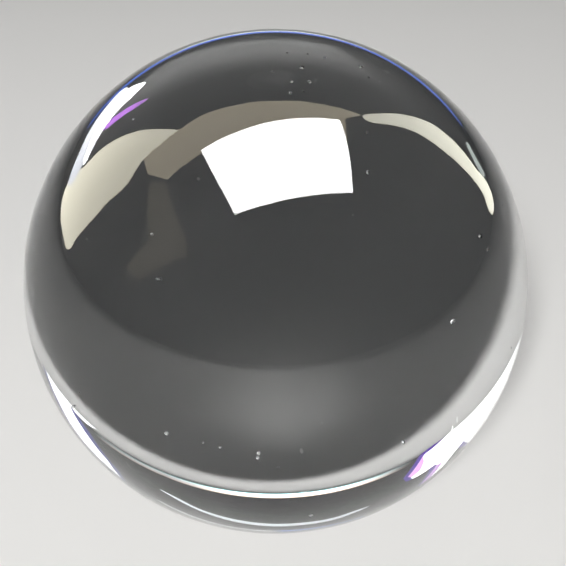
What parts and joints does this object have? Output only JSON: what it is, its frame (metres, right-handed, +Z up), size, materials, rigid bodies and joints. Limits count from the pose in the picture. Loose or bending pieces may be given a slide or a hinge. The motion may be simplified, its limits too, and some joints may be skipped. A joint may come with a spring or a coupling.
{
  "type": "crystal ball",
  "caption": "Solid polished ball of clear colourless optical glass, for gazing, display, contact juggling and other circus or magic acts; rolls freely and is held in a hand, cup or ring stand.",
  "frame": {"origin": "centre of the ball", "axes": "+Z up; every diameter of the ball is an axis of symmetry, so +X and +Y are any two level directions at right angles; at rest the ball touches a level surface at one point, 40 mm below the origin"},
  "size_m": [0.08, 0.08, 0.08],
  "materials": {
    "clear_glass": "optically polished, clear and colourless, with a few tiny gas bubbles"
  },
  "bodies": {
    "root": {"crystal_ball": "clear_glass"}
  },
  "joints": []
}
